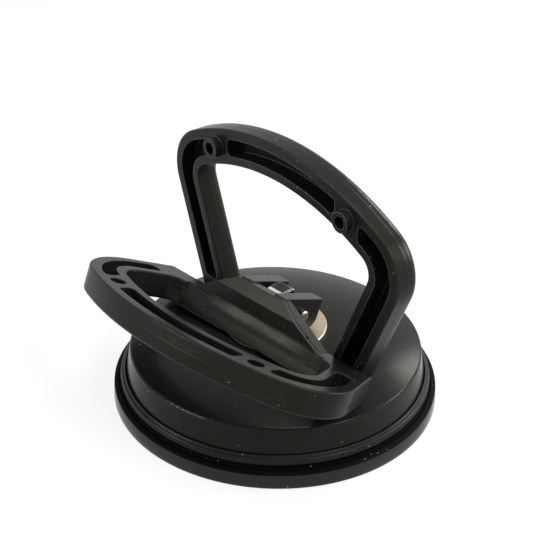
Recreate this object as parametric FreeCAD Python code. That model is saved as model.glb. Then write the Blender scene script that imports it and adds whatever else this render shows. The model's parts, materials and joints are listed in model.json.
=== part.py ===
import FreeCAD, Part
import math
import os

# Floor tile suction lifter: one rubber cup under a moulded dome, a fixed D handle
# and a D lever whose two cams pull the cup's middle up.
# Millimetres, +Z up, X along the hinge, lever towards -Y. Origin: middle of the
# cup's sucking face.

V = FreeCAD.Vector
X, Y, Z = V(1, 0, 0), V(0, 1, 0), V(0, 0, 1)
os.makedirs("parts", exist_ok=True)

# ---- sizes that are set by themselves ----
pad_r = 60.0             # cup
pad_rim_h = 5.6          # height of the cup's outer wall
pad_draft = 0.4          # how much wider the wall is at the floor
pad_shoulder = 0.9       # rise of the cup's top face towards its lip
lip_t = 1.7              # wall of the lip round the dome
lip_h = 4.3              # height of the lip above the shoulder
skin_t = 1.9             # rubber under the stud's head
web_t = 4.3              # rubber beside the core plate
web_slope = 4.0          # run of the slope between web and rim

skirt_r = 55.3           # dome: outer radius at the lip's top
skirt_top_r = 53.8
skirt_h = 13.0           # from the cup's seat to the dome's edge
dome_rise = 6.7          # from the edge to the washer's seat
dome_bulge = 1.1         # how far the dome's top bows over a straight cone
wall = 3.0
edge_round = 0.8
guide_t = 3.6            # wall of the stud's guide tube
guide_len = 10.5
rib_count = 8
rib_t = 2.0
rib_depth = 5.0

washer_r = 18.7
washer_t = 1.5
washer_hole_gap = 0.7

stud_r = 3.7
stud_head_r = 8.5
stud_head_t = 1.6
eye_side = 7.4           # stud's eye, along the pin
eye_front = 4.5          # and across it, from the pin to its front and back
eye_back = 5.2
eye_below = 7.8          # eye below and above the pin
eye_above = 4.9
eye_chamfer = 0.5
eye_round = 4.0          # round of its front top edge, under the lever's hub

plate_r = 30.0
plate_t = 2.0
plate_hole_r = 2.6
plate_hole_count = 6
ring_t = 1.2
ring_w = 2.4

grip_top = 99.0          # D outline shared by handle and lever, measured with
crown_r = 111.0          # the handle upright
corner_r = 18.0
corner_in_r = 6.5
lever_corner_r = 21.0    # the lever's D has rounder corners
lever_corner_in_r = 8.5
lever_channel_r = 20.0
leg_x = 44.3             # outer edge of a leg at leg_z
leg_z = 26.0
leg_lean = 21.5          # degrees
grip_w = 13.5
grip_t = 9.8             # thickness of both grips
back_round = 3.0
face_round = 0.6

wall_out = 3.7           # walls left beside the grip's channels
wall_in = 3.3
channel_depth = 6.2
channel_end = 29.0       # half length of the middle channel
side_channel_x = 40.4    # where the side channels start
channel_corner = 2.2
foot_solid = 5.5         # solid leg under the side channels, from inside the dome

boss_x = 35.0
boss_r = 3.7
boss_bore_r = 2.35
boss_bore_depth = 9.0
boss_len = 3.3

handle_y = -0.5          # front face of the fixed handle
tenon_l = 9.0            # foot of a leg, in its socket in the dome
tenon_w = 7.0
screw_r = 2.0
screw_core_r = 1.5
screw_len = 10.0
screw_pitch = 1.6
screw_head_r = 4.0
screw_head_t = 2.6

lever_rise = 22.9        # degrees above the floor, at rest
lever_yaw = 5.5          # degrees the eye and lever have turned round the stud
cam_lift = 3.2           # what the cams pull the cup's middle up
pin_r = 2.0
pin_head_r = 3.2
pin_head_t = 1.0
pin_out = 3.2            # peened end beyond the cam ear
pin_over_washer = 9.4    # at rest
pin_before_face = 6.7    # the pin's axis stands proud of the lever's face

hub_front = 51.9         # lever's D opening ends here, handle upright heights
hub_back = 43.2          # end of the lever's legs
hub_top = 11.6           # height of gusset and ears above the lever's face
gusset_top_x = 11.4
gusset_foot_x = 31.0
gusset_bulge = 1.2
gusset_bulge_n = 6.7
gusset_top_t = 4.0
hub_notch = 1.9          # its front wall leans: back at the face,
hub_lip = 1.5            # forward at its foot
hub_foot_n = 8.9         # depth of that foot under the lever's face
groove_w = 0.5
groove_depth = 0.6
groove_in = 1.5
flank_hole_r = 0.75
ear_t = 5.8
ear_proud = 0.5          # ears stand this much above the gusset
ear_edge_r = 1.2         # front top edge of an ear
ear_nose_r = 2.0         # its two front corners, seen from above
peg_hole_r = 3.0
peg_hole_depth = 7.0
opening_corner = 5.0
relief_side = 2.0        # hub's underside: clear of the washer and dome by this much
relief_up = 0.5

# ---- clearances ----
fit = 0.05               # pin in eye
guide_fit = 0.10         # stud in dome
cam_gap = 0.2            # cams over washer
seat_gap = 0.3           # rubber round parts that lift out of it
pocket_gap = 0.3         # eye's top inside the lever's hub
socket_gap = 0.15

# ---- heights that follow ----
seat_z = pad_rim_h + pad_shoulder + 0.2
edge_z = seat_z + skirt_h
top_z = edge_z + dome_rise
washer_top = top_z + washer_t
pin_z = washer_top + pin_over_washer
pin_up = pin_z + cam_lift            # pin height with the lever upright
travel = 90.0 - lever_rise
head_z = skin_t + seat_gap
plate_z = head_z + stud_head_t
plate_top = plate_z + plate_t
ring_z = plate_top
leg_tan = math.tan(math.radians(leg_lean))
leg_cos = math.cos(math.radians(leg_lean))
leg_sin = math.sin(math.radians(leg_lean))
ear_in = gusset_top_x - ear_t
floor_z = top_z - wall - 4.0         # floor of the handle's sockets


def wire_face(points):
    return Part.Face(Part.makePolygon(points + [points[0]]))


def prism(points, vec):
    return wire_face(points).extrude(vec)


def block(x0, x1, y0, y1, z0, z1):
    return Part.makeBox(x1 - x0, y1 - y0, z1 - z0, V(x0, y0, z0))


def tube(r_out, r_in, z0, z1):
    body = Part.makeCylinder(r_out, z1 - z0, V(0, 0, z0))
    return body.cut(Part.makeCylinder(r_in, z1 - z0, V(0, 0, z0)))


def spin(edges):
    return Part.Face(Part.Wire(edges)).revolve(V(0, 0, 0), Z, 360)


def line(a, b):
    return Part.makeLine(V(a[0], 0, a[1]), V(b[0], 0, b[1]))


def arc(a, m, b):
    return Part.Arc(V(a[0], 0, a[1]), V(m[0], 0, m[1]), V(b[0], 0, b[1])).toShape()


def chain(points):
    """Straight edges through (radius, height) points."""
    return [line(p, q) for p, q in zip(points, points[1:])]


def along(shape, axis):
    """Edges of a shape that run along an axis."""
    out = []
    for e in shape.Edges:
        if len(e.Vertexes) == 2:
            d = e.Vertexes[1].Point - e.Vertexes[0].Point
            if d.Length > 1e-6 and abs(d.normalize().dot(axis)) > 0.999:
                out.append(e)
    return out


# ---- the D outline ----
def crown_centre():
    return (0.0, grip_top - crown_r)


def d_points(inset, corner):
    """Half D, inset from the outer edge: crown end and leg start of its corner."""
    cx, cz = crown_centre()
    r0 = crown_r - inset
    nx, nz = leg_cos, -leg_sin                       # outward from a leg
    base = leg_x * nx + leg_z * nz - inset           # line of the leg's edge
    d = base - corner
    # corner's centre: d from the origin along (nx, nz), r0 - corner from the crown
    rr = r0 - corner
    h = d - (cx * nx + cz * nz)
    run = math.sqrt(rr * rr - h * h)
    px = cx + h * nx - run * nz
    pz = cz + h * nz + run * nx
    k = r0 / rr
    crown_end = (cx + (px - cx) * k, cz + (pz - cz) * k)
    leg_start = (px + corner * nx, pz + corner * nz)
    ux, uz = (crown_end[0] - px) / corner, (crown_end[1] - pz) / corner
    mx, mz = ux + nx, uz + nz
    m = math.hypot(mx, mz)
    mid = (px + corner * mx / m, pz + corner * mz / m)
    return crown_end, mid, leg_start


def leg_at(inset, z):
    """Half width of the D at a height on its legs."""
    return leg_x + (z - leg_z) * leg_tan - inset / leg_cos


def d_face(inset, corner, foot):
    """D, closed by a straight edge at the height foot."""
    c, m, s = d_points(inset, corner)
    top = (0, grip_top - inset)
    f = (leg_at(inset, foot), foot)
    mir = lambda p: (-p[0], p[1])
    edges = [line(mir(f), mir(s)), arc(mir(s), mir(m), mir(c)), arc(mir(c), top, c),
             arc(c, m, s), line(s, f), line(f, mir(f))]
    return Part.Face(Part.Wire(edges))


def d_ring(foot, depth):
    """Horseshoe between the outer and inner D; its face is at y 0, body at +y."""
    outer = d_face(0, corner_r, foot).extrude(V(0, depth, 0))
    return outer.cut(d_face(grip_w, corner_in_r, foot - 1).extrude(V(0, depth, 0)))


def channel_band(depth, corner):
    a = d_face(wall_out, corner, leg_z - 20).extrude(V(0, depth, 0))
    b = d_face(grip_w - wall_in, corner_in_r + wall_in, leg_z - 21)
    return a.cut(b.extrude(V(0, depth, 0)))


def channels(depth, low, corner):
    """The three channels in a grip's face; the side ones end at the height low."""
    band = channel_band(depth, corner)
    far = grip_top * 2
    mid = band.common(block(-channel_end, channel_end, -1, far, leg_z + 20, far))
    out = [mid.makeFillet(channel_corner, along(mid, Y))]
    for s in (-1, 1):
        x0, x1 = sorted((s * side_channel_x, s * far))
        upper = band.common(block(x0, x1, -1, far, low, far))
        x0, x1 = sorted((s * leg_at(grip_w, leg_z), s * far))
        z1 = grip_top - grip_w - corner_in_r - 4
        lower = band.common(block(min(x0, 0) if s < 0 else 0, x1 if s > 0 else 0,
                                  -1, far, low, z1))
        side = upper.fuse(lower).removeSplitter()
        ends = [e for e in along(side, Y)
                if e.Vertexes[0].Point.z < low + 0.01
                or abs(abs(e.Vertexes[0].Point.x) - side_channel_x) < 0.01]
        out.append(side.makeFillet(channel_corner, ends))
    return out


def boss_height():
    """Middle of the grip at the bosses."""
    r = crown_r - grip_w / 2
    return crown_centre()[1] + math.sqrt(r * r - boss_x * boss_x)


def soften(shape, y, r):
    """Round the long edges of a grip that lie in the plane y."""
    picked = []
    for e in shape.Edges:
        b = e.BoundBox
        if abs(b.YMin - y) < 0.01 and abs(b.YMax - y) < 0.01 and b.DiagonalLength > 3 * r:
            picked.append(e)
    return shape.makeFillet(r, picked)


# ---- dome ----
def dome_outline():
    """Outer profile from the washer's seat to the skirt's foot."""
    seat_r = washer_r + 0.9
    a, b = (seat_r, top_z), (skirt_top_r - edge_round, edge_z + 0.45)
    m = ((a[0] + b[0]) / 2, (a[1] + b[1]) / 2 + dome_bulge)
    c = (skirt_top_r + 0.1, edge_z - edge_round)
    cm = (skirt_top_r - 0.18, edge_z + 0.12)
    lip_top = pad_rim_h + pad_shoulder + lip_h
    d, e = (skirt_r, lip_top), (skirt_r, seat_z)
    return a, m, b, cm, c, d, e


def dome_blank(hole_r):
    """The dome as a full body, for what sits on it."""
    a, m, b, cm, c, d, e = dome_outline()
    return spin([line((hole_r, top_z), a), arc(a, m, b), arc(b, cm, c)]
                + chain([c, d, e, (hole_r, seat_z), (hole_r, top_z)]))


def foot_x():
    """Middle of a leg where it meets the dome."""
    return leg_at(grip_w / 2, edge_z + dome_rise * 0.5)


def foot_y():
    return handle_y + grip_t / 2


def housing():
    a, m, b, cm, c, d, e = dome_outline()
    bore = stud_r + guide_fit
    guide = bore + guide_t
    inner_low = (skirt_r - wall, seat_z)
    inner_top = (skirt_top_r - wall, edge_z - wall)
    ia = (guide, top_z - wall)
    im = ((ia[0] + inner_top[0]) / 2, (ia[1] + inner_top[1]) / 2 + dome_bulge)
    body = spin([line((bore, top_z), a), arc(a, m, b), arc(b, cm, c)]
                + chain([c, d, e, inner_low, inner_top])
                + [arc(inner_top, im, ia)]
                + chain([ia, (guide, top_z - guide_len), (bore, top_z - guide_len),
                         (bore, top_z)]))
    ribs = []
    for i in range(rib_count):
        rib = block(guide - 0.5, skirt_r - wall + 0.5, -rib_t / 2, rib_t / 2,
                    edge_z - wall - rib_depth, top_z - wall + 1)
        rib.rotate(V(0, 0, 0), Z, 360.0 * (i + 0.5) / rib_count)
        ribs.append(rib.common(blank_inside()))
    body = body.multiFuse(ribs)
    for s in (-1, 1):
        x = s * foot_x()
        wall_x, wall_y = tenon_l / 2 + 2.2, tenon_w / 2 + 2.2
        low = floor_z - 2.4
        socket = block(x - wall_x, x + wall_x, foot_y() - wall_y, foot_y() + wall_y,
                       low, top_z)
        body = body.fuse(socket.common(blank_inside()))
    for s in (-1, 1):
        x = s * foot_x()
        gx, gy = tenon_l / 2 + socket_gap, tenon_w / 2 + socket_gap
        body = body.cut(block(x - gx, x + gx, foot_y() - gy, foot_y() + gy,
                              floor_z, top_z + 5))
        body = body.cut(Part.makeCylinder(screw_r + socket_gap, 10,
                                          V(x, foot_y(), floor_z - 6)))
    return body.removeSplitter()


def blank_inside():
    """The dome's outer form, a little smaller, to trim ribs and sockets."""
    a, m, b, cm, c, d, e = dome_outline()
    k = 0.5
    sh = lambda p: (p[0] - k, p[1] - k)
    return spin([line((0.01, top_z - k), sh(a)), arc(sh(a), sh(m), sh(b)),
                 line(sh(b), (skirt_top_r - k, edge_z - 1.5))]
                + chain([(skirt_top_r - k, edge_z - 1.5), (skirt_r - k, d[1]),
                         (skirt_r - k, seat_z), (0.01, seat_z), (0.01, top_z - k)]))


# ---- fixed handle ----
def fixed_handle():
    low = edge_z - 4
    body = d_ring(low, grip_t)
    body = soften(body, grip_t, back_round)
    body = soften(body, 0, face_round)
    cut_low = top_z - 3.0 + foot_solid
    for c in channels(channel_depth, cut_low, corner_r - wall_out):
        body = body.cut(c)
    z = boss_height()
    for s in (-1, 1):
        body = body.fuse(Part.makeCylinder(boss_r, boss_len + 1, V(s * boss_x, -boss_len, z), Y))
        body = body.cut(Part.makeCylinder(boss_bore_r, boss_bore_depth,
                                          V(s * boss_x, -boss_len, z), Y))
    body.translate(V(0, handle_y, 0))
    body = body.cut(dome_blank(0.01))
    for s in (-1, 1):
        x = s * foot_x()
        tenon = block(x - tenon_l / 2, x + tenon_l / 2, foot_y() - tenon_w / 2,
                      foot_y() + tenon_w / 2, floor_z + 0.05, top_z + 1.5)
        body = body.fuse(tenon)
        pilot = Part.makeCylinder(screw_r, screw_len - 1.0, V(x, foot_y(), floor_z))
        body = body.cut(pilot)
    return body.removeSplitter()


def tapping_screw(x, y, z):
    """Pan head self-tapping screw, head down, head's seat at z."""
    pts = [(0.01, -screw_head_t), (screw_head_r * 0.7, -screw_head_t),
           (screw_head_r, -screw_head_t * 0.6), (screw_head_r, 0),
           (screw_r, 0), (screw_r, 2.0)]
    h = 2.0
    while h + screw_pitch < screw_len - 1.5:
        pts += [(screw_core_r, h + 0.3), (screw_core_r, h + screw_pitch * 0.5),
                (screw_r, h + screw_pitch * 0.8)]
        h += screw_pitch
    pts += [(screw_core_r, h + 0.5), (0.01, screw_len)]
    body = spin(chain(pts + [pts[0]]))
    cross = block(-2.2, 2.2, -0.45, 0.45, -screw_head_t - 1, -screw_head_t + 1.3)
    other = block(-0.45, 0.45, -2.2, 2.2, -screw_head_t - 1, -screw_head_t + 1.3)
    body = body.cut(cross).cut(other)
    body.translate(V(x, y, z))
    return body


def handle_screws():
    z = floor_z - 2.4
    return Part.makeCompound([tapping_screw(s * foot_x(), foot_y(), z) for s in (-1, 1)])


# ---- cup and what hangs in it ----
def rubber_pad():
    shoulder = pad_rim_h + pad_shoulder
    lip_top = shoulder + lip_h
    r = skirt_r
    rim_in = skirt_r - wall - 1.0
    lip_out = r + lip_t
    seat = seat_z
    edges = [line((0, 0), (pad_r + pad_draft, 0)),
             line((pad_r + pad_draft, 0), (pad_r, pad_rim_h)),
             line((pad_r, pad_rim_h), (lip_out + 0.4, shoulder)),
             line((lip_out + 0.4, shoulder), (lip_out + 0.25, shoulder + 0.9)),
             arc((lip_out + 0.25, shoulder + 0.9), (lip_out - 0.35, shoulder + lip_h * 0.62),
                 (r + 0.35, lip_top)),
             line((r + 0.35, lip_top), (r + 0.02, lip_top - 0.5)),
             line((r + 0.02, lip_top - 0.5), (r + 0.02, seat)),
             line((r + 0.02, seat), (rim_in, seat)),
             line((rim_in, seat), (rim_in - web_slope, web_t)),
             line((rim_in - web_slope, web_t), (plate_r + seat_gap, web_t)),
             line((plate_r + seat_gap, web_t), (plate_r + seat_gap, plate_z - 0.05)),
             line((plate_r + seat_gap, plate_z - 0.05), (stud_head_r + seat_gap, plate_z - 0.05)),
             line((stud_head_r + seat_gap, plate_z - 0.05), (stud_head_r + seat_gap, skin_t)),
             line((stud_head_r + seat_gap, skin_t), (0, skin_t)),
             line((0, skin_t), (0, 0))]
    return spin(edges)


def core_plate():
    body = tube(plate_r, stud_r + guide_fit, plate_z, plate_top)
    rim = [e for e in body.Edges if len(e.Vertexes) == 1 and e.Curve.Radius > plate_r - 1]
    body = body.makeFillet(0.5, rim)
    for i in range(plate_hole_count):
        a = 2 * math.pi * (i + 0.5) / plate_hole_count
        p = V(plate_r * 0.68 * math.cos(a), plate_r * 0.68 * math.sin(a), plate_z - 1)
        body = body.cut(Part.makeCylinder(plate_hole_r, plate_t + 2, p))
    return body


def stud_ring():
    body = tube(stud_r + ring_w, stud_r, ring_z + 0.05, ring_z + 0.05 + ring_t)
    a = math.radians(45)
    slit = block(0, stud_r + ring_w + 1, -0.9, 0.9, ring_z - 1, ring_z + ring_t + 2)
    slit.rotate(V(0, 0, 0), Z, math.degrees(a))
    return body.cut(slit)


def turned(shape):
    """Turn a piece of the eye's body to where it stands at rest."""
    shape.rotate(V(0, 0, 0), Z, lever_yaw)
    return shape


def eye_stud():
    eye_low = pin_z - eye_below
    shank = spin(chain([(0, head_z), (stud_head_r - 0.4, head_z), (stud_head_r, head_z + 0.4),
                        (stud_head_r, plate_z - 0.05), (stud_r, plate_z - 0.05),
                        (stud_r, eye_low), (0, eye_low), (0, head_z)]))
    h, t = eye_side / 2, pin_z + eye_above
    eye = block(-h, h, -eye_front, eye_back, eye_low - 0.5, t)
    top = [e for e in along(eye, X) if e.BoundBox.ZMin > t - 0.01]
    eye = eye.makeFillet(eye_round, [e for e in top if e.BoundBox.YMax < 0])
    sides = [e for e in eye.Edges if e.BoundBox.ZMin > t - 0.01 and e.BoundBox.YMax > 0]
    eye = eye.makeChamfer(eye_chamfer, sides)
    widest = math.hypot(h, eye_back)
    round_foot = Part.makeCone(stud_r, widest, 2.4, V(0, 0, eye_low - 0.5))
    round_foot = round_foot.fuse(Part.makeCylinder(widest, 40, V(0, 0, eye_low + 1.9)))
    eye = eye.common(round_foot)
    body = shank.fuse(eye)
    body = body.cut(Part.makeCylinder(pin_r + fit, 30, V(-15, 0, pin_z), X))
    return turned(body.removeSplitter())


def cam_washer():
    hole = stud_r + washer_hole_gap
    body = tube(washer_r, hole, top_z, washer_top)
    rim = [e for e in body.Edges if len(e.Vertexes) == 1 and e.Curve.Radius > hole + 1]
    return body.makeChamfer(0.25, rim)


# ---- lever, built upright with its face in the plane y 0 and facing +y ----
def cam_curve():
    """Cam edge: the washer stays cam_gap under it while the pin rises evenly."""
    per_rad = cam_lift / math.radians(travel)
    pts = []
    steps = 12
    for i in range(steps + 1):
        turn = math.radians(travel) * i / steps
        phi = math.radians(lever_rise) + turn
        h = pin_over_washer - cam_gap + per_rad * turn
        s = -h * math.sin(phi) - per_rad * math.cos(phi)
        n = -h * math.cos(phi) + per_rad * math.sin(phi)
        pts.append((s, n))
    return pts


def ear(x0):
    """One cam ear, from x0 outwards by ear_t."""
    pts = [(pin_up + s, pin_before_face + n) for s, n in cam_curve()]
    rest, up = pts[0], pts[-1]
    nose = up[0]
    run = hub_back + 1.0 - rest[0]
    under = (hub_back + 1.0, rest[1] - run * math.tan(math.radians(lever_rise)))
    P = lambda p: V(x0, p[1], p[0])
    spline = Part.BSplineCurve()
    spline.interpolate([P(p) for p in reversed(pts)])
    top = hub_top + ear_proud
    k = ear_edge_r * (1 - math.sqrt(0.5))
    a, am, b = (nose + ear_edge_r, top), (nose + k, top - k), (nose, top - ear_edge_r)
    back = hub_front - gusset_top_t / 2
    edges = [Part.makeLine(P((back, top)), P(a)), Part.Arc(P(a), P(am), P(b)).toShape(),
             Part.makeLine(P(b), P(up)), spline.toShape(),
             Part.makeLine(P(rest), P(under)),
             Part.makeLine(P(under), P((back, under[1]))),
             Part.makeLine(P((back, under[1])), P((back, top)))]
    side = Part.Face(Part.Wire(edges)).extrude(V(ear_t, 0, 0))
    plan = block(x0, x0 + ear_t, -grip_t, top + 1, nose, hub_front)
    corners = [e for e in along(plan, Y) if e.BoundBox.ZMax < nose + 0.01]
    return side.common(plan.makeFillet(ear_nose_r, corners))


def gusset():
    """Cross wall on the lever's face: bowed front, thicker at its foot, sloping ends."""
    front = hub_front - 0.2
    back_top = front - gusset_top_t
    prof = [(front, hub_top), (front + gusset_bulge, gusset_bulge_n),
            (hub_front - hub_notch + 0.3, 0.3), (hub_front - hub_notch + 0.3, -1),
            (hub_back + 0.6, -1), (hub_back + 0.6, 0), (back_top, hub_top)]
    far = gusset_foot_x + 6
    wallp = prism([V(-far, n, z) for z, n in prof], V(2 * far, 0, 0))
    low, high = hub_back - 3, hub_front + 6

    def ends(inset):
        slope = (gusset_foot_x - gusset_top_x) / hub_top
        a, b = gusset_top_x - inset, gusset_foot_x + slope - inset
        return prism([V(-b, -1, low), V(-a, hub_top, low), V(a, hub_top, low),
                      V(b, -1, low)], V(0, 0, high - low))

    body = wallp.common(ends(0))
    slab = prism([V(-far, n, z - groove_in) for z, n in prof[:3]]
                 + [V(-far, n, z - groove_in - groove_w) for z, n in reversed(prof[:3])],
                 V(2 * far, 0, 0))
    return body.cut(slab.cut(ends(groove_depth)))


def eye_pocket():
    """Room for the eye's top between the cam ears as the lever swings over it."""
    reach = math.hypot(eye_front - eye_round, eye_above - eye_round) + eye_round
    return Part.makeCylinder(reach + pocket_gap, 2 * ear_in,
                             V(-ear_in, pin_before_face, pin_up), X)


def lever():
    ring = d_face(0, lever_corner_r, hub_back).extrude(V(0, -grip_t, 0))
    opening = d_face(grip_w, lever_corner_in_r, hub_front).extrude(V(0, -grip_t, 0))
    low = [e for e in along(opening, Y) if e.Vertexes[0].Point.z < hub_front + 0.01]
    opening = opening.makeFillet(opening_corner, low)
    body = ring.cut(opening)
    body = soften(body, -grip_t, 1.2)
    body = soften(body, 0, face_round)
    x = leg_at(grip_w, hub_front) - opening_corner
    middle = -grip_t / 2
    notch = prism([V(-x, 0.2, hub_front + 0.1), V(-x, 0.2, hub_front - hub_notch - 0.05),
                   V(-x, -0.05, hub_front - hub_notch), V(-x, middle, hub_front + 0.05)],
                  V(2 * x, 0, 0))
    lip = prism([V(-x, middle, hub_front - 0.5), V(-x, middle, hub_front),
                 V(-x, -hub_foot_n, hub_front + hub_lip), V(-x, -hub_foot_n, hub_front - 0.5)],
                V(2 * x, 0, 0))
    body = body.cut(notch).fuse(lip)
    for c in channels(channel_depth, hub_front + 2.4, lever_channel_r):
        c.rotate(V(0, 0, 0), Z, 180)
        body = body.cut(c)
    z = boss_height()
    for s in (-1, 1):
        body = body.cut(Part.makeCylinder(peg_hole_r, peg_hole_depth,
                                          V(s * boss_x, -peg_hole_depth, z), Y))
    body = body.fuse(gusset()).cut(eye_pocket())
    for x0 in (ear_in, -gusset_top_x):
        body = body.fuse(ear(x0))
    body = body.cut(Part.makeCylinder(pin_r, 40, V(-20, pin_before_face, pin_up), X))
    slope = math.atan2(hub_top, gusset_foot_x - gusset_top_x)
    across = gusset_top_x + (gusset_foot_x - gusset_top_x) * 0.7
    into = V(-math.sin(slope), -math.cos(slope), 0)
    start = V(across, hub_top * 0.3, hub_front - hub_notch) - into * 0.6
    body = body.cut(Part.makeCylinder(flank_hole_r, 4, start, into))
    return relieved(to_rest(body.removeSplitter()))


def relieved(shape):
    """Clear the lever's underside, at rest, over the washer and the dome."""
    over_washer = Part.makeCylinder(washer_r + relief_side, washer_top + cam_gap)
    dome = dome_blank(0.01)
    dome.translate(V(0, 0, relief_up))
    return shape.cut(over_washer).cut(dome).removeSplitter()


def to_rest(shape):
    """Swing an upright piece of the lever down to where it stands at rest."""
    shape.translate(V(0, -pin_before_face, -pin_up))
    shape.rotate(V(0, 0, 0), X, travel)
    shape = turned(shape)
    shape.translate(V(0, 0, pin_z))
    return shape


def pivot_pin():
    x0, x1 = -gusset_top_x, gusset_top_x + pin_out
    pts = [(0, -pin_head_t), (pin_head_r * 0.75, -pin_head_t), (pin_head_r, -pin_head_t * 0.4),
           (pin_head_r, 0), (pin_r, 0), (pin_r, x1 - x0 - 0.5), (pin_r - 0.5, x1 - x0),
           (0, x1 - x0), (0, -pin_head_t)]
    body = spin(chain(pts))
    body.rotate(V(0, 0, 0), Y, 90)
    body.translate(V(x0, 0, 0))
    body = turned(body)
    body.translate(V(0, 0, pin_z))
    return body


PARTS = {
    "housing_dome": housing,
    "fixed_handle": fixed_handle,
    "handle_screws": handle_screws,
    "cam_washer": cam_washer,
    "rubber_pad": rubber_pad,
    "core_plate": core_plate,
    "eye_stud": eye_stud,
    "stud_ring": stud_ring,
    "lever_handle": lever,
    "pivot_pin": pivot_pin,
}

for name, make in PARTS.items():
    shape = make()
    if not shape.isValid():
        print("not valid:", name)
    print(name, len(shape.Solids), "solid(s), volume", round(shape.Volume, 1),
          "box", [round(v, 1) for v in (shape.BoundBox.XMin, shape.BoundBox.XMax,
                                        shape.BoundBox.YMin, shape.BoundBox.YMax,
                                        shape.BoundBox.ZMin, shape.BoundBox.ZMax)])
    shape.exportStep("parts/" + name + ".step")
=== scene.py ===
# %% [markdown]
# # A suction lifter for floor tiles
# The tool is a rubber cup under a black moulded dome. Two D handles stand on it: one is fixed,
# the other is a lever on a hinge whose two cams pull the middle of the cup up.
# The CAD solids are loaded first. They are true in shape, so most of them stay and get a
# finish here. The rubber cup is soft, so it is modelled again with rounded edges.

# %% load the frame
import json
import math
import bpy
from mathutils import Matrix, Vector


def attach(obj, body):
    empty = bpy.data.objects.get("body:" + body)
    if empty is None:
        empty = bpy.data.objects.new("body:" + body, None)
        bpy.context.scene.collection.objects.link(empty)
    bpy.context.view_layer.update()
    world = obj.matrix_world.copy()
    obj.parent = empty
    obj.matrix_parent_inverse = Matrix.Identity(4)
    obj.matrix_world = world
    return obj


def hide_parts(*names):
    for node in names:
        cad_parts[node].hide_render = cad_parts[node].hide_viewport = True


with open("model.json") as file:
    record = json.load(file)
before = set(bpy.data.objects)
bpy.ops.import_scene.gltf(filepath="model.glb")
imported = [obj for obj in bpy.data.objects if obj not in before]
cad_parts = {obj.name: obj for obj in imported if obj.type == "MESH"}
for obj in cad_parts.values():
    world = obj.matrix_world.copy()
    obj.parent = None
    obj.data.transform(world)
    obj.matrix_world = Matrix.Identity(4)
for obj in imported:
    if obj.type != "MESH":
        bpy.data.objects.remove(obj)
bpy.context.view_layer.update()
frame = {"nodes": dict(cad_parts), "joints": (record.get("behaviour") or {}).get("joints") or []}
MM = 0.001

# %% [markdown]
# ## How the lever lies
# Two finishes follow the lever: the parting line of its mould and the painted highlight on the
# stud's eye.
# At rest it lies tilted, and turned a little round the stud. Both are read from its joint: the
# axis runs along the pin, and the travel is what the lever still has to turn to stand upright.

# %% the lever's directions
up = Vector((0, 0, 1))
lever_turn = next(joint for joint in frame["joints"] if joint["name"] == "lever_turn")
pin = Vector(lever_turn["pos_m"])
pin_front = up.cross(Vector(lever_turn["axis"]))
travel = math.radians(lever_turn["range_deg"][1])
lever_up = up * math.sin(travel) - pin_front * math.cos(travel)
for what, found in (("pin", pin), ("its front", pin_front), ("lever's face", lever_up)):
    print(what, [round(v, 4) for v in found])

# %% [markdown]
# ## Shader maths in plain Python
# A material is a graph of small nodes. Written one node at a time it is long and hard to read,
# so a small class wraps a socket and lets + - * / build the Math nodes. `Graph.node` adds
# every other kind of node: its settings come first, then what goes into its sockets.

# %% a socket that can be used in a sum
class Sum:
    """A value that changes over a surface, usable in ordinary arithmetic."""

    def __init__(self, graph, socket):
        self.graph, self.socket = graph, socket

    def _math(self, how, a, b=0.0):
        return self.graph.node("ShaderNodeMath", {"operation": how}, {0: a, 1: b})

    def __add__(self, other): return self._math("ADD", self, other)
    def __radd__(self, other): return self._math("ADD", other, self)
    def __sub__(self, other): return self._math("SUBTRACT", self, other)
    def __rsub__(self, other): return self._math("SUBTRACT", other, self)
    def __mul__(self, other): return self._math("MULTIPLY", self, other)
    def __rmul__(self, other): return self._math("MULTIPLY", other, self)
    def __truediv__(self, other): return self._math("DIVIDE", self, other)
    def __rtruediv__(self, other): return self._math("DIVIDE", other, self)
    def __abs__(self): return self._math("ABSOLUTE", self)
    def clamped(self): return self.graph.node("ShaderNodeClamp", {}, {0: self})

    def above(self, level, crisp):
        """1 where the value is above a level and 0 below it, with a more or less crisp border."""
        return ((self - level) * crisp).clamped()


print("operators ready:", sum(name.startswith("__r") for name in vars(Sum)), "reflected")

# %% [markdown]
# A material, a lamp and the world each have a tree of nodes. `Graph` is that tree with the one
# method that adds to it, so the plastic and the white surround are written alike.

# %% the nodes of a material or of the world
class Graph:
    """A tree of nodes under construction."""

    def __init__(self, tree):
        self.tree = tree

    def node(self, kind, settings, inputs, output=0):
        made = self.tree.nodes.new(kind)
        for key, value in settings.items():
            if key == "stops":
                self._stops(made.color_ramp, value)
            else:
                setattr(made, key, value)
        for key, value in inputs.items():
            if isinstance(value, Sum):
                self.tree.links.new(value.socket, made.inputs[key])
            else:
                made.inputs[key].default_value = value
        return Sum(self, made.outputs[output])

    def _stops(self, ramp, stops):
        for element, (at, colour) in zip(ramp.elements, stops):
            element.position, element.color = at, (*colour, 1.0)

    def show(self, surface, output):
        """Send a shader to the output node of this name."""
        self.tree.links.new(surface.socket, self.tree.nodes[output].inputs["Surface"])


print("graph helper ready")
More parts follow.
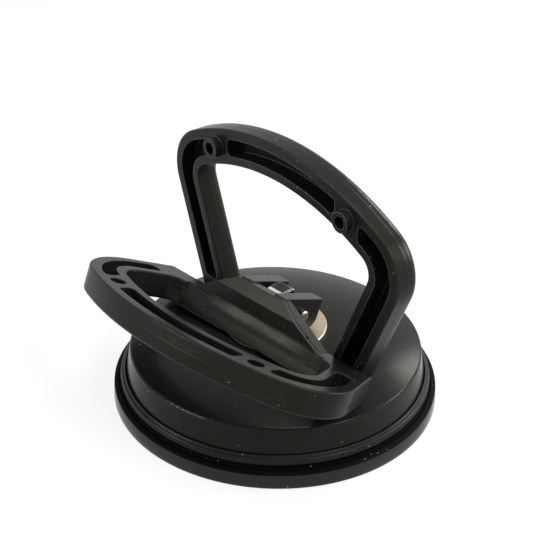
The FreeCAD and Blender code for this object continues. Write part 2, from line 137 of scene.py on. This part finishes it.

# %% [markdown]
# A finish is one material. It starts with a Principled shader, and the place of each point comes
# from Object coordinates, which stay on the piece when it moves. A constant is set on the
# shader's own socket. What changes over the surface is fed to it.
#
# The CAD edges are razor sharp, but moulded and turned edges never are. The Bevel node rounds
# them in the shading alone. Where its normal leaves the true one there is an edge, and that
# gives a mask for a painted edge highlight and for smoother edges. Both cost nothing in the mesh.

# %% one finish
class Finish(Graph):
    """A material under construction."""

    def __init__(self, name, **constants):
        self.material = bpy.data.materials.new(name)
        self.material.use_nodes = True
        super().__init__(self.material.node_tree)
        self.shader = self.tree.nodes["Principled BSDF"]
        for socket, value in constants.items():
            self.shader.inputs[socket.replace("_", " ")].default_value = value
        self.place = self.node("ShaderNodeTexCoord", {}, {}, "Object")

    def feed(self, socket, value):
        self.tree.links.new(value.socket, self.shader.inputs[socket])

    def noise(self, size, detail=2.0, stretch=None):
        """Cloudy pattern with blobs of about this size in metres, from 0 to 1."""
        at = self.place
        if stretch:
            at = self.node("ShaderNodeMapping", {}, {"Vector": at, "Scale": stretch})
        return self.node("ShaderNodeTexNoise", {},
                         {"Vector": at, "Scale": 1.0 / size, "Detail": detail})

    def ramp(self, value, dark, light):
        """From a dark colour to a light one as the value grows."""
        return self.node("ShaderNodeValToRGB", {"stops": [(0.3, dark), (0.7, light)]}, {0: value})

    def blend(self, amount, under, over):
        """Colour over laid on colour under by an amount from 0 to 1."""
        return self.node("ShaderNodeMix", {"data_type": "RGBA"}, {0: amount, 6: under, 7: over}, 2)

    def along(self, direction, start):
        """Distance in metres from a point, along a direction."""
        away = self.node("ShaderNodeVectorMath", {"operation": "SUBTRACT"},
                         {0: self.place, 1: start})
        return self.node("ShaderNodeVectorMath", {"operation": "DOT_PRODUCT"},
                         {0: away, 1: direction}, "Value")

    def distance(self, centre):
        """Distance in metres from a point, in all directions."""
        return self.node("ShaderNodeVectorMath", {"operation": "DISTANCE"},
                         {0: self.place, 1: centre}, "Value")

    def edges(self, radius):
        """Normal with rounded edges, and a mask that is 1 on them."""
        rounded = self.node("ShaderNodeBevel", {"samples": 6}, {"Radius": radius})
        true = self.node("ShaderNodeNewGeometry", {}, {}, "Normal")
        same = self.node("ShaderNodeVectorMath", {"operation": "DOT_PRODUCT"},
                         {0: rounded, 1: true}, "Value")
        sharpness = 12.0
        return rounded, ((1.0 - same) * sharpness).clamped()

    def dust(self, how_few):
        """Sparse grains under a millimetre across: 1 on a grain and 0 elsewhere."""
        return self.noise(0.8 * MM, 0.0).above(how_few, 40.0)

    def bumps(self, height, depth, rounded):
        """Dents and grain on the rounded normal: height 0 to 1 over this depth in metres."""
        self.feed("Normal", self.node("ShaderNodeBump", {}, {
            "Height": height, "Distance": depth, "Strength": 1.0, "Normal": rounded}))


print("finish helper ready")

# %% [markdown]
# Greys are written as one number. A warm one has a little more red than blue, and the plastic
# has a faint olive cast. The last number of a colour is how opaque it is.

# %% greys
WHITE = (1.0, 1.0, 1.0, 1.0)


def grey(value, warm=0.0):
    return (value * (1 + warm), value, value * (1 - warm))


def olive(value):
    return (value * 0.99, value, value * 0.86)


def solid(colour):
    return (*colour, 1.0)


print("olive cast:", olive(1.0))

# %% [markdown]
# ## Marks of the mould, and a painted sheen
# The two halves of a mould meet at a parting line, halfway through a grip. It stands up a
# little, and the walls on each side of it lean back by almost 2 degrees, so that the part leaves
# its mould. A roof-shaped height with a thin ridge, fed to the bump, tips the walls that way.
#
# A pale streaky band along the front of the lever's hub is painted sheen: a painted highlight
# that lights the hub's front. A noise drawn out along X makes the streaks.

# %% parting line and painted sheen
WALL_LEAN = 0.03


def parting_roof(finish, direction, start):
    """Height in metres of a ridge at the parting plane, with walls that fall away from it."""
    ridge_wide, ridge_high = 0.22 * MM, 0.03 * MM
    off = abs(finish.along(direction, start))
    return (1.0 - off / ridge_wide).clamped() * ridge_high - off * WALL_LEAN


def painted_sheen_band(finish, direction, centre):
    """Mask of a painted sheen: a streaky pale band through a point, at right angles to a
    direction.
    """
    reach, half_band, strength = 26 * MM, 1.6 * MM, 0.42
    near = ((1.0 - finish.distance(centre) / reach) * 2.0).clamped()
    band = (1.5 - abs(finish.along(direction, centre)) / half_band).clamped()
    return near * band * finish.noise(2 * MM, 3.0, stretch=(0.12, 1.0, 1.0)) * strength


print("parting walls lean", round(math.degrees(math.atan(WALL_LEAN)), 1), "degrees")

# %% [markdown]
# ## Black moulded plastic
# The dome and both D handles are injection moulded in one black plastic. It isn't a pure black:
# it is a satin grey-black. The moulds leave a very fine texture, and thick stretches cool
# unevenly, which shows as faint clouds in the gloss. Noise in three sizes does this: clouds
# 30 mm across for the gloss, blotches of 5 mm for the colour, and a grain of 0.4 mm for the
# bump. Handling makes the edges smoother, and they are painted lighter as a painted highlight.
# A few grains of dust and short scuffs are scattered over all of it.
#
# The three mouldings differ a little. The dome is the smoothest. `tone` is the grey of the
# plastic, `specular` how much it mirrors, `gloss` its roughness and `edge_highlight_tone` the grey
# of its painted edge highlight.

# %% plastic finish
def moulded_plastic(name, tone, specular, gloss, edge_highlight_tone, parting=None, sheen_at=None):
    finish = Finish(name, IOR=1.5, Specular_IOR_Level=specular, Specular_Tint=solid(olive(1.0)))
    clouds = finish.noise(30 * MM, 3.0)
    blotches = finish.noise(5 * MM, 4.0)
    grain = finish.noise(0.4 * MM, 2.0)
    scuffs = finish.noise(4 * MM, 4.0, stretch=(1.0, 9.0, 4.0)).above(0.67, 14.0)
    rounded, edge = finish.edges(0.45 * MM)

    body = finish.ramp(clouds * 0.45 + blotches * 0.55, olive(tone * 0.8), olive(tone * 1.2))
    # the edges are painted lighter: a painted highlight
    painted_highlight = finish.blend(edge * 0.6, body, solid(olive(edge_highlight_tone)))
    marks_and_sheen = finish.dust(0.865) + scuffs * 0.10
    if sheen_at:
        # the hub's pale band is painted sheen, added to the dust and scuffs
        marks_and_sheen = marks_and_sheen + painted_sheen_band(finish, parting[0], sheen_at)
    finish.feed("Base Color", finish.blend(marks_and_sheen.clamped(), painted_highlight, solid(olive(0.30))))

    finish.feed("Roughness", (clouds - 0.5) * 0.12 + (grain - 0.5) * 0.12 - edge * 0.10
                + scuffs * 0.15 + gloss)
    height = (grain * 0.7 + blotches * 0.3) * (0.025 * MM)
    if parting:
        height = height + parting_roof(finish, *parting)
    finish.bumps(height, 1.0, rounded)
    print("finish", name, "tone", tone, "roughness", gloss)
    return finish.material


# %% [markdown]
# The dome was drawn straight out of its mould, so it has no parting line in sight. The fixed
# handle parts in the plane halfway through its grip, and so does the lever, whose plane is
# square to the way its face looks and lies a little below the pin.

# %% the three mouldings
handle_middle = (0, 4.4 * MM, 0)
lever_middle = pin - lever_up * (11.6 * MM)
hub_front = (4 * MM, -13.8 * MM, 34.7 * MM)
dome_black = moulded_plastic("dome_black", 0.009, 0.095, 0.21, 0.110)
handle_black = moulded_plastic("handle_black", 0.009, 0.11, 0.29, 0.150,
                               parting=((0, 1, 0), handle_middle))
lever_black = moulded_plastic("lever_black", 0.009, 0.10, 0.29, 0.075,
                              parting=(tuple(lever_up), tuple(lever_middle)),
                              sheen_at=hub_front)

# %% [markdown]
# ## Black rubber
# The cup is nearly a true black, and it gets three finishes. The low outer wall is
# smooth: at a low angle it mirrors the floor and turns pale. The shoulder above it and the
# groove under the lip get a darker, duller copy of the rubber, which is painted shade. The lip,
# the bead and all that the dome hides are satin. Rubber holds dust, so pale grains lie on each of
# them.

# %% rubber finishes
def cup_rubber(name, tone, specular, gloss):
    finish = Finish(name, IOR=1.5, Specular_IOR_Level=specular)
    blotches = finish.noise(7 * MM, 4.0)
    grain = finish.noise(0.6 * MM, 3.0)
    rounded, edge = finish.edges(0.3 * MM)
    body = finish.ramp(blotches, grey(tone * 0.7), grey(tone * 1.3))
    # the edges are painted lighter: a painted highlight
    painted_highlight = finish.blend(edge * 0.4, body, solid(grey(tone * 5)))
    finish.feed("Base Color", finish.blend(finish.dust(0.855), painted_highlight, solid(grey(0.28))))
    finish.feed("Roughness", (blotches - 0.5) * 0.12 + (grain - 0.5) * 0.1 + gloss)
    finish.bumps(grain * 0.7 + blotches * 0.3, 0.03 * MM, rounded)
    print("finish", name, "tone", tone, "roughness", gloss)
    return finish.material


rubber_lip = cup_rubber("rubber_lip", 0.008, 0.12, 0.34)
rubber_wall = cup_rubber("rubber_wall", 0.008, 0.26, 0.16)
rubber_painted_shade = cup_rubber("rubber_painted_shade", 0.002, 0.03, 0.6)

# %% [markdown]
# ## Plated steel
# The washer under the cams is zinc plated and passivated pale yellow. Its front, under the
# lever's hub, is painted dark: painted shade where the hub shades it, and a painted reflection of
# the black hub.
# The pin is a darker, smoother steel. What is hidden in the cup is plain zinc plate. Plating is a
# mirror
# with a fine grain: one noise, stretched along the grain, drives both the colour and the gloss.

# %% steel finishes
def plated_steel(name, dark, light, gloss, streak, painted_shade_from=None):
    finish = Finish(name, Metallic=1.0)
    wide = finish.noise(4 * MM, 3.0)
    lines = finish.noise(0.4 * MM, 2.0, stretch=(1.0, streak, streak))
    rounded, edge = finish.edges(0.2 * MM)
    plate = finish.ramp(wide * 0.6 + lines * 0.4, dark, light)
    # the edges are painted lighter: a painted highlight
    plate = finish.blend(edge * 0.6, plate, solid(light))
    if painted_shade_from:
        # the front under the hub is painted dark: painted shade and painted reflection of the hub
        fade = 10 / 3 * MM
        painted_shade = (finish.along((0, -1, 0), painted_shade_from) / fade + (wide - 0.5) * 0.6).clamped()
        plate = finish.blend(painted_shade, plate, solid(grey(0.035, 0.1)))
    finish.feed("Base Color", plate)
    finish.feed("Roughness", (lines - 0.5) * 0.2 - edge * 0.1 + gloss)
    finish.bumps(lines, 0.006 * MM, rounded)
    print("finish", name, "roughness", gloss)
    return finish.material


yellow_zinc = plated_steel("yellow_zinc", (0.38, 0.31, 0.22), (0.50, 0.42, 0.32), 0.40, 6.0,
                           painted_shade_from=(0, -9 * MM, 0))
pin_steel = plated_steel("pin_steel", grey(0.16), (0.34, 0.33, 0.31), 0.22, 3.0)
plain_zinc = plated_steel("plain_zinc", grey(0.38), (0.55, 0.55, 0.56), 0.42, 4.0)

# %% [markdown]
# ## The stud's eye
# The stud is given a dark steel base. Its front rounding and its edges are painted bright: a
# painted highlight. It follows two masks: the edges, and the distance in
# front of the stud's axis, towards the lever, with a noise that makes its border uneven.

# %% stud finish with a painted highlight
def stud_painted_highlight():
    finish = Finish("stud_painted_highlight", Metallic=1.0)
    wide = finish.noise(3 * MM, 4.0)
    lines = finish.noise(0.3 * MM, 2.0, stretch=(6.0, 1.0, 6.0))
    rounded, edge = finish.edges(0.6 * MM)
    border, fade, uneven = 0.1 * MM, 0.4 * MM, 0.6 * MM
    front = finish.along(tuple(pin_front), (0, 0, 0))
    # the front rounding and the edges get a painted highlight
    front_highlight = ((front - border + (wide - 0.5) * uneven) / fade).clamped()
    painted_highlight = (edge * 0.75 + front_highlight).clamped()
    dark = finish.ramp(wide, grey(0.012), grey(0.030, 0.03))
    bright = finish.ramp(lines, grey(0.62), grey(0.86))
    finish.feed("Base Color", finish.blend(painted_highlight, dark, bright))
    finish.feed("Roughness", 0.36 - painted_highlight * 0.16 + (lines - 0.5) * 0.12)
    finish.bumps(lines, 0.005 * MM, rounded)
    print("finish", finish.material.name)
    return finish.material


eye_steel = stud_painted_highlight()

# %% [markdown]
# ## Dressing the solids
# Each CAD solid keeps its shape and gets one finish. The pad's solid gets the lip's satin,
# though the cup that is modelled next takes its place in view.

# %% give each solid its finish
finish_of = {
    "housing_dome": dome_black, "fixed_handle": handle_black, "lever_handle": lever_black,
    "rubber_pad": rubber_lip, "cam_washer": yellow_zinc, "eye_stud": eye_steel,
    "pivot_pin": pin_steel, "core_plate": plain_zinc, "stud_ring": plain_zinc,
    "handle_screws": plain_zinc,
}
for name, finish in finish_of.items():
    slots = frame["nodes"][name].data.materials
    slots.clear()
    slots.append(finish)
print("dressed", len(finish_of), "solids")

# %% [markdown]
# ## The rubber cup
# The cup is one moulding: a thick disc with a low outer wall, a shoulder, a groove that cuts in
# below a rounded lip, and a thin bead that grips the dome's skirt. Inside the bead is the seat
# of the dome, and in the middle the thin web and the pocket that holds the steel plate.
#
# All of it is round, so it grows from one cylinder: the top face is selected, extruded up or
# down a step at a time, and scaled to the next radius, as a potter would pull it. Spinning a
# profile would do as well, but leaves a pole to close in the middle. A bevel then rounds the
# edges that are sharp.

# %% pulling rings from a face
def only_top_face(mesh):
    """Select nothing but the round face on top of the piece in edit mode."""
    bpy.ops.mesh.select_all(action="DESELECT")
    bpy.ops.object.mode_set(mode="OBJECT")
    cap = max(mesh.polygons, key=lambda face: (len(face.vertices), face.center.z))
    cap.select = True
    bpy.ops.object.mode_set(mode="EDIT")


def grow_rings(start, rings):
    """Extrude the selected round face through (radius, height) rings, all in mm."""
    radius, height = start
    for next_radius, next_height in rings:
        step = (0, 0, (next_height - height) * MM)
        bpy.ops.mesh.extrude_region_move(TRANSFORM_OT_translate={"value": step})
        k = next_radius / radius
        bpy.ops.transform.resize(value=(k, k, 1))
        radius, height = next_radius, next_height


print("ring helpers ready")

# %% [markdown]
# The rings are (radius, height) in mm, from the outer wall up over the lip and down into the
# middle. The foot is the cylinder that they start from.

# %% the cup's rings
foot = (60.4, 1.2)
outer_wall = [(60.05, 5.2), (59.9, 5.55)]
shoulder = [(59.5, 5.75), (58.3, 6.15), (58.0, 5.9), (57.3, 5.9)]
groove = [(57.1, 6.5), (57.15, 7.4), (57.6, 7.9)]
lip = [(57.6, 8.5), (57.35, 9.5), (57.05, 9.85), (56.75, 9.95), (56.55, 9.85)]
bead = [(56.4, 10.3), (56.1, 10.7), (55.8, 10.75), (55.55, 10.4), (55.35, 9.6)]
dome_seat = [(55.34, 6.7), (51.3, 6.7)]
web = [(47.3, 4.3), (30.3, 4.3)]
plate_pocket = [(30.3, 3.75), (8.8, 3.75), (8.8, 1.9)]
cup_rings = outer_wall + shoulder + groove + lip + bead + dome_seat + web + plate_pocket
print("cup rings:", len(cup_rings), "highest", max(height for _, height in cup_rings), "mm")

# %% [markdown]
# The new cylinder is selected all over, so nothing but its top face is left selected before
# the first ring is pulled. The faces are turned outwards at the end, because rings that go down
# again can turn a wall inside out.

# %% cup
bpy.ops.object.select_all(action="DESELECT")
bpy.ops.mesh.primitive_cylinder_add(vertices=192, radius=foot[0] * MM, depth=foot[1] * MM,
                                    location=(0, 0, foot[1] / 2 * MM))
cup = bpy.context.object
cup.name = "rubber_cup"
bpy.ops.object.transform_apply(location=True, rotation=True, scale=True)
bpy.ops.object.mode_set(mode="EDIT")
only_top_face(cup.data)
grow_rings(foot, cup_rings)
bpy.ops.mesh.select_all(action="SELECT")
bpy.ops.mesh.normals_make_consistent(inside=False)
bpy.ops.object.mode_set(mode="OBJECT")
soft_edges = cup.modifiers.new("soft edges", "BEVEL")
soft_edges.width, soft_edges.segments = 0.12 * MM, 2
soft_edges.limit_method, soft_edges.angle_limit = "ANGLE", math.radians(35)
bpy.ops.object.modifier_apply(modifier="soft edges")
bpy.ops.object.shade_smooth_by_angle(angle=math.radians(40))
print("cup:", len(cup.data.polygons), "faces")

# %% [markdown]
# The three finishes meet at the top of the outer wall and in the groove. The darker copy, which
# paints shade, covers the shoulder and the groove's lower flank. Each face is sorted by its height
# and by how far it lies from the axis. The cup then rides on the base and stands for the CAD's
# plain pad.

# %% the cup's three finishes, one of them painted shade
wall_top, painted_shade_top = 5.3 * MM, 7.6 * MM
wall_inside, painted_shade_inside = 59.6 * MM, 57.0 * MM
for surface in (rubber_lip, rubber_wall, rubber_painted_shade):
    cup.data.materials.append(surface)
for face in cup.data.polygons:
    from_axis = math.hypot(face.center.x, face.center.y)
    if from_axis > wall_inside and face.center.z < wall_top:
        face.material_index = 1
    # the shoulder and the groove's lower flank get the darker copy: painted shade
    elif from_axis > painted_shade_inside and wall_top < face.center.z < painted_shade_top:
        face.material_index = 2
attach(cup, "base")
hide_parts("rubber_pad")
print("cup faces by surface:", [sum(face.material_index == n for face in cup.data.polygons)
                                for n in range(3)])

# %% [markdown]
# ## The studio
# A plain pale floor, a white surround and five soft lamps. Black plastic shows its shape by
# what it mirrors, so the lamps stand where the dome, the handles and the washer mirror them to
# someone at the front right: behind the tool, to its right, to its left and above.
#
# The floor and the surround are shown white to the camera, to mirrors and through glass. The
# floor is partly lit and mostly white of itself, so that the tool keeps a faint shadow.

# %% floor
def white_where_seen(graph):
    """1 for a ray from the camera, from a mirror or through glass."""
    rays = ("Is Camera Ray", "Is Glossy Ray", "Is Transmission Ray")
    seen = [graph.node("ShaderNodeLightPath", {}, {}, ray) for ray in rays]
    return (seen[0] + seen[1] + seen[2]).clamped()


bpy.ops.object.select_all(action="DESELECT")
bpy.ops.mesh.primitive_plane_add(size=6.0, location=(0, 0, -0.5 * MM))
floor = bpy.context.object
floor.name = "floor"
pale = Finish("pale_floor", Roughness=1.0, Specular_IOR_Level=0.0, Base_Color=solid(grey(0.90)))
lit = Sum(pale, pale.shader.outputs[0])
glow = pale.node("ShaderNodeEmission", {}, {"Color": WHITE, "Strength": 1.0})
own_white = white_where_seen(pale) * 0.85
pale.show(pale.node("ShaderNodeMixShader", {}, {0: own_white, 1: lit, 2: glow}),
          "Material Output")
floor.data.materials.append(pale.material)
print("floor ready")

# %% [markdown]
# The world shows the same white to the same rays. To all other rays it is a dim room that
# fills the shadows evenly.

# %% white surround
world = bpy.data.worlds.new("surround")
bpy.context.scene.world = world
world.use_nodes = True
surround = Graph(world.node_tree)
surround.tree.nodes.remove(surround.tree.nodes["Background"])
room = surround.node("ShaderNodeBackground", {}, {"Color": WHITE, "Strength": 0.22})
white = surround.node("ShaderNodeBackground", {}, {"Color": WHITE, "Strength": 1.0})
surround.show(surround.node("ShaderNodeMixShader", {},
                            {0: white_where_seen(surround), 1: room, 2: white}), "World Output")
print("surround ready")

# %% [markdown]
# Each lamp is a soft box: a square that shines evenly. It is placed by its direction round
# the tool and its height above the floor, and turned to face the tool. A small box gives the
# gloss a clear edge, a large one a broad sheen.

# %% lamps
LAMP_AWAY = 0.9
tool_middle = Vector((0, 0, 40 * MM))


def soft_box(name, around, above, wide, power):
    """Degrees round from +X, degrees above the floor, metres wide, watts."""
    a, e = math.radians(around), math.radians(above)
    place = LAMP_AWAY * Vector((math.cos(a) * math.cos(e), math.sin(a) * math.cos(e), math.sin(e)))
    data = bpy.data.lights.new(name, "AREA")
    data.shape, data.size, data.energy = "SQUARE", wide, power
    lamp = bpy.data.objects.new(name, data)
    bpy.context.scene.collection.objects.link(lamp)
    lamp.location = place
    lamp.rotation_euler = (tool_middle - place).to_track_quat("-Z", "Y").to_euler()
    print("lamp", name, [round(v, 2) for v in place], power, "W")


soft_box("back_box", 98, 32, 0.26, 2.7)
soft_box("right_box", 60, 24, 0.30, 5.4)
soft_box("high_box", 12, 48, 0.24, 3.6)
soft_box("left_box", 245, 26, 0.30, 4.0)
soft_box("top_box", 0, 88, 0.30, 3.2)

# %% [markdown]
# ## The camera
# The tool is seen from its front right, from well above. The lens is a short telephoto, which
# keeps the round cup free of stretching. The camera first aims at the origin, then pans and
# tilts a little, because the tool sits low in the frame.

# %% camera
distance, around, above = 0.50048, 49.827, 35.797
roll, pan, tilt = -1.303, 0.2073, 4.9577


def turn(degrees, axis):
    return Matrix.Rotation(math.radians(degrees), 4, axis)


camera_data = bpy.data.cameras.new("camera")
camera_data.lens = 87.876
camera_data.sensor_width = 36.0
camera_data.clip_start = 0.01
camera = bpy.data.objects.new("camera", camera_data)
bpy.context.scene.collection.objects.link(camera)
aimed = turn(around, "Z") @ turn(90 - above, "X")
camera.matrix_world = (Matrix.Translation(aimed @ Vector((0, 0, distance)))
                       @ aimed @ turn(-roll, "Z") @ turn(pan, "Y") @ turn(tilt, "X"))
bpy.context.scene.camera = camera
bpy.context.scene.view_settings.view_transform = "Standard"
print("camera", [round(v, 3) for v in camera.location])

# %% [markdown]
